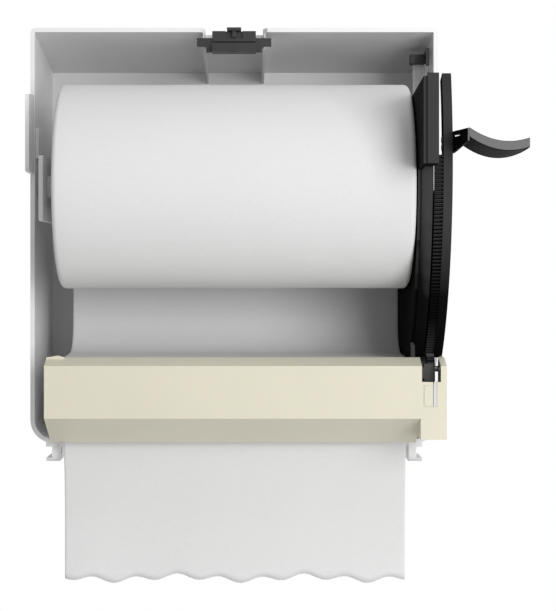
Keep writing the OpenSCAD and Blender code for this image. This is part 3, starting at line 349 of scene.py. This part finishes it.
def make_roll(material):
    steps = 128
    middle = (ROLL_LOW.x + ROLL_HIGH.x) / 2
    rows = []
    for k in range(steps):
        a = 2 * math.pi * k / steps
        row = []
        for x, r in roll_profile():
            sag = ROLL_SAG * (unevenness(x, r * math.cos(a), r * math.sin(a), 38 * MM, 7.7) - 1)
            share = (r - CORE_R) / (ROLL_R - CORE_R)
            r += sag * share
            row.append((middle + x, ROLL_Y + r * math.cos(a), ROLL_Z + r * math.sin(a)))
        rows.append(row)
    piece = add_piece("towel_roll", grid_mesh("towel_roll", rows, closed_across=True,
                      closed_along=True), material, "roll")
    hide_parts("paper_roll")
    return piece


# Loose web and hanging sheet

WEB_LOW, WEB_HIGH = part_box("paper_web")
FEED_LOW, FEED_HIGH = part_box("feed_rollers")
PINCH_LOW, PINCH_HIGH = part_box("pinch_rollers")
FEED_Z = (FEED_LOW.z + FEED_HIGH.z) / 2
PINCH_Y = (PINCH_LOW.y + PINCH_HIGH.y) / 2
PINCH_R = (PINCH_HIGH.z - PINCH_LOW.z) / 2
WEB_T = 0.4 * MM
WEB_GAP = 0.3 * MM
BEND_R = 20 * MM
BEND_RISE = 26.5 * MM
FALL_START = 6 * MM  # below the nip, where the paper's curve towards its hanging place begins
FALL_LEAD = 30 * MM  # below the nip, what the curve's start heads for
HANG_Y = -95.5 * MM
HANG_LEAD_Z = -128 * MM  # where the curve's end comes from
HANG_Z = -175 * MM
SHEET_END_Z = -205 * MM
SHEET_T = 0.25 * MM
FREE_BELOW = 55 * MM  # below the nip, where the hanging sheet starts to wave
FREE_SPAN = 60 * MM  # and how much further down it waves in full
SHEET_WAVE = 1.3 * MM


def arc(centre, r, start, end, steps):
    angles = [math.radians(start + (end - start) * i / steps) for i in range(steps + 1)]
    return [(centre[0] + r * math.cos(a), centre[1] + r * math.sin(a)) for a in angles]


def bezier(p, steps):
    made = []
    for i in range(steps + 1):
        t = i / steps
        w = ((1 - t) ** 3, 3 * t * (1 - t) ** 2, 3 * t * t * (1 - t), t ** 3)
        made.append(tuple(sum(w[j] * p[j][k] for j in range(4)) for k in (0, 1)))
    return made


def web_route():
    """The paper's centre line in Y and Z: down behind the roll, over the pinch rollers and down to hang."""
    web_y = ROLL_Y + ROLL_R + WEB_GAP + WEB_T / 2
    bend = (web_y - BEND_R, FEED_Z + BEND_RISE)
    wrap_r = PINCH_R + WEB_GAP + WEB_T / 2
    run = (PINCH_Y - bend[0], FEED_Z - bend[1])
    tilt = math.degrees(math.acos((BEND_R + wrap_r) / math.hypot(*run)) - math.atan2(-run[0], -run[1]))
    nip_y = PINCH_Y - wrap_r
    fall = [(nip_y, FEED_Z - FALL_START), (nip_y, FEED_Z - FALL_LEAD),
            (HANG_Y, HANG_LEAD_Z), (HANG_Y, HANG_Z)]
    return ([(web_y, ROLL_Z)] + arc(bend, BEND_R, 0, tilt - 90, 24)
            + arc((PINCH_Y, FEED_Z), wrap_r, 90 + tilt, 180, 16) + bezier(fall, 30))


def edge_wave(x, depth, start, pitch):
    """A wave along the sheet's width, lowest at start from its left edge."""
    return depth * math.cos(2 * math.pi * (x - WEB_LOW.x - start) / pitch)


def torn_z(x):
    """Height of the torn edge: scallops from the tear bar, a slow wave, and a fringe of fibres.
    Depths are in millimetres."""
    scallop = edge_wave(x, 1.6, 4 * MM, 25.2 * MM)
    slow = edge_wave(x, 1.2, 30 * MM, 76 * MM)
    fringe = 0.25 * unevenness(x, 0, 0, 0.9 * MM, 11.3)
    return SHEET_END_Z - (scallop + slow + fringe) * MM


def make_web(material):
    columns = 200
    tail = 8
    route = web_route()
    last_y, last_z = route[-1]
    rows = []
    for i in range(len(route) + tail):
        row = []
        for j in range(columns + 1):
            x = WEB_LOW.x + (WEB_HIGH.x - WEB_LOW.x) * j / columns
            if i < len(route):
                y, z = route[i]
            else:
                y, z = last_y, last_z + (torn_z(x) - last_z) * (i - len(route) + 1) / tail
            free = max(0, min(1, (FEED_Z - FREE_BELOW - z) / FREE_SPAN))
            y += SHEET_WAVE * free * unevenness(x, 0, z / 3, 42 * MM, 5.5)
            row.append((x, y, z))
        rows.append(row)
    piece = add_piece("paper_sheet", grid_mesh("paper_sheet", rows), material, "root")
    thick = piece.modifiers.new("thickness", "SOLIDIFY")
    thick.thickness = SHEET_T
    thick.offset = 0
    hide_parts("paper_web")
    return piece


# Push paddle

PADDLE_LOW, PADDLE_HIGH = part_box("lever_paddle")
PADDLE_H = 5.4 * MM
PADDLE_DEPTH = PADDLE_HIGH.y - PADDLE_LOW.y - 0.5 * MM
PADDLE_RISE = 16.0  # metres of rise for each square metre of distance from the lowest place
PADDLE_DIP_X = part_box("housing")[1].x + 27.5 * MM
PADDLE_DIP_Z = 49.4 * MM
PADDLE_DROP = 3 * MM
PADDLE_LIP = 1.3 * MM
PADDLE_DISH = 0.8 * MM
PADDLE_EDGE_R = 0.7 * MM


def rounded(corners, radius, steps=4):
    """The outline through these corners, each one cut off by a curve that reaches radius along both sides."""
    made = []
    for i, corner in enumerate(corners):
        corner = Vector(corner)
        ends = []
        for other in (corners[i - 1], corners[(i + 1) % len(corners)]):
            side = Vector(other) - corner
            ends.append(corner + side.normalized() * min(radius, 0.4 * side.length))
        for k in range(steps + 1):
            t = k / steps
            made.append(ends[0] * (1 - t) ** 2 + corner * (2 * t * (1 - t)) + ends[1] * t ** 2)
    return made


def paddle_section(x, share):
    """A slice of the paddle: upright front face, underside falling to the back, and a dished top."""
    depth = PADDLE_DEPTH * share
    front = PADDLE_LOW.y
    top = PADDLE_DIP_Z + PADDLE_RISE * (x - PADDLE_DIP_X) ** 2
    low = top - PADDLE_H
    drop = PADDLE_DROP * share
    corners = [(front, top), (front, low), (front + depth, low - drop),
               (front + depth, low - drop + PADDLE_LIP),
               (front + depth * 0.5, top - drop - PADDLE_DISH)]
    return [(x, p.x, p.y) for p in rounded(corners, PADDLE_EDGE_R)]


def fill_ends(mesh):
    """Closes the open ends of a tube-like mesh."""
    shape = bmesh.new()
    shape.from_mesh(mesh)
    bmesh.ops.holes_fill(shape, edges=[e for e in shape.edges if e.is_boundary], sides=0)
    bmesh.ops.recalc_face_normals(shape, faces=shape.faces)
    shape.to_mesh(mesh)
    shape.free()


def make_paddle(material):
    slices = 44
    length = PADDLE_HIGH.x - PADDLE_LOW.x
    rows = []
    for i in range(slices + 1):
        along = 1 - (1 - i / slices) ** 2
        share = math.sqrt(max(1 - along ** 3, 0.004))
        rows.append(paddle_section(PADDLE_LOW.x + length * along, share))
    mesh = grid_mesh("push_paddle", rows, closed_across=True)
    fill_ends(mesh)
    piece = add_piece("push_paddle", mesh, material, "lever")
    edges = piece.modifiers.new("round_ends", "BEVEL")
    edges.width = 0.35 * MM
    edges.segments = 2
    edges.limit_method = "ANGLE"
    edges.angle_limit = math.radians(50)
    piece.modifiers.new("even_shading", "WEIGHTED_NORMAL")
    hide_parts("lever_paddle")
    return piece


# Studio

FLOOR_Z = -0.47
FLOOR_HALF = 0.9
AMBIENT = 0.36
LIGHTS_AIM = (0, -0.05, 0)


def make_floor():
    made = Finish("studio_floor", 0.8)
    made.colour(made.mixed(made.noise(0.3), (0.80, 0.80, 0.80), (0.84, 0.84, 0.84)))
    corners = [[(-FLOOR_HALF, -FLOOR_HALF, FLOOR_Z), (FLOOR_HALF, -FLOOR_HALF, FLOOR_Z)],
               [(-FLOOR_HALF, FLOOR_HALF, FLOOR_Z), (FLOOR_HALF, FLOOR_HALF, FLOOR_Z)]]
    floor = bpy.data.objects.new("floor", grid_mesh("floor", corners))
    floor.data.materials.append(made.material)
    bpy.context.scene.collection.objects.link(floor)


def make_world(ambient):
    """White to the camera and in reflections, and a soft even light on everything else."""
    world = bpy.data.worlds.new("studio")
    world.use_nodes = True
    bpy.context.scene.world = world
    nodes, links = world.node_tree.nodes, world.node_tree.links
    soft = nodes["Background"]
    soft.inputs["Color"].default_value = (1, 1, 1, 1)
    soft.inputs["Strength"].default_value = ambient
    white = nodes.new("ShaderNodeBackground")
    white.inputs["Color"].default_value = (1, 1, 1, 1)
    path = nodes.new("ShaderNodeLightPath")
    seen = path.outputs["Is Camera Ray"]
    for ray in ("Is Glossy Ray", "Is Transmission Ray"):
        either = nodes.new("ShaderNodeMath")
        either.operation = "MAXIMUM"
        links.new(seen, either.inputs[0])
        links.new(path.outputs[ray], either.inputs[1])
        seen = either.outputs[0]
    mix = nodes.new("ShaderNodeMixShader")
    links.new(seen, mix.inputs[0])
    links.new(soft.outputs[0], mix.inputs[1])
    links.new(white.outputs[0], mix.inputs[2])
    links.new(mix.outputs[0], nodes["World Output"].inputs["Surface"])


def make_light(name, place, aim, size, watts):
    data = bpy.data.lights.new(name, "AREA")
    data.shape = "RECTANGLE"
    data.size, data.size_y = size
    data.energy = watts
    light = bpy.data.objects.new(name, data)
    light.location = place
    light.rotation_euler = (Vector(aim) - Vector(place)).to_track_quat("-Z", "Y").to_euler()
    bpy.context.scene.collection.objects.link(light)


def make_studio():
    bpy.context.scene.view_settings.view_transform = "Standard"
    make_world(AMBIENT)
    make_light("key", (0.75, -1.35, 0.15), LIGHTS_AIM, (0.8, 0.9), 13.5)
    make_light("top", (0.3, -0.8, 1.1), LIGHTS_AIM, (0.8, 0.6), 3)
    make_floor()


make_camera()
materials = make_materials()
for node_name, (material_name, edge_width) in DRESS.items():
    dress_node(node_name, materials[material_name], edge_width)
make_roll(materials["paper"])
make_web(materials["paper"])
make_paddle(materials["gloss_black"])
make_studio()
